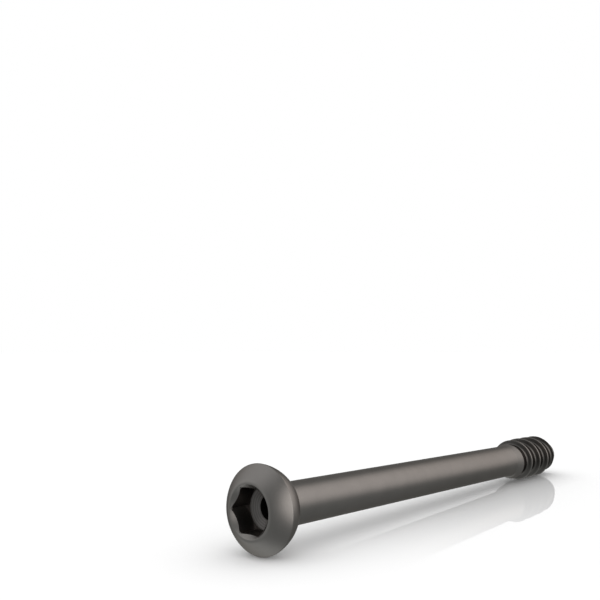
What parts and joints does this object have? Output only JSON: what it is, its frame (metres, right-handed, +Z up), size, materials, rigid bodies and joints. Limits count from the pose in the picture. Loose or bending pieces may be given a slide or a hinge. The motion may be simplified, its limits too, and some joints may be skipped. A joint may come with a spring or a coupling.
{
  "type": "cannulated bone screw",
  "caption": "Cannulated cancellous bone screw with a ball-seated hexagon-socket head, a smooth shank and a short coarse buttress thread.",
  "frame": {"origin": "on the resting plane, under the middle of the screw's length", "axes": "+X along the screw from head to tip, level; +Z up. The axis of the screw dips 1.29 degrees towards the tip, because the head is wider than the thread."},
  "size_m": [0.0701, 0.009, 0.0091],
  "materials": {
    "titanium": "dark grey anodised titanium alloy, satin"
  },
  "bodies": {
    "root": {"cannulated_bone_screw": "titanium"}
  },
  "joints": []
}
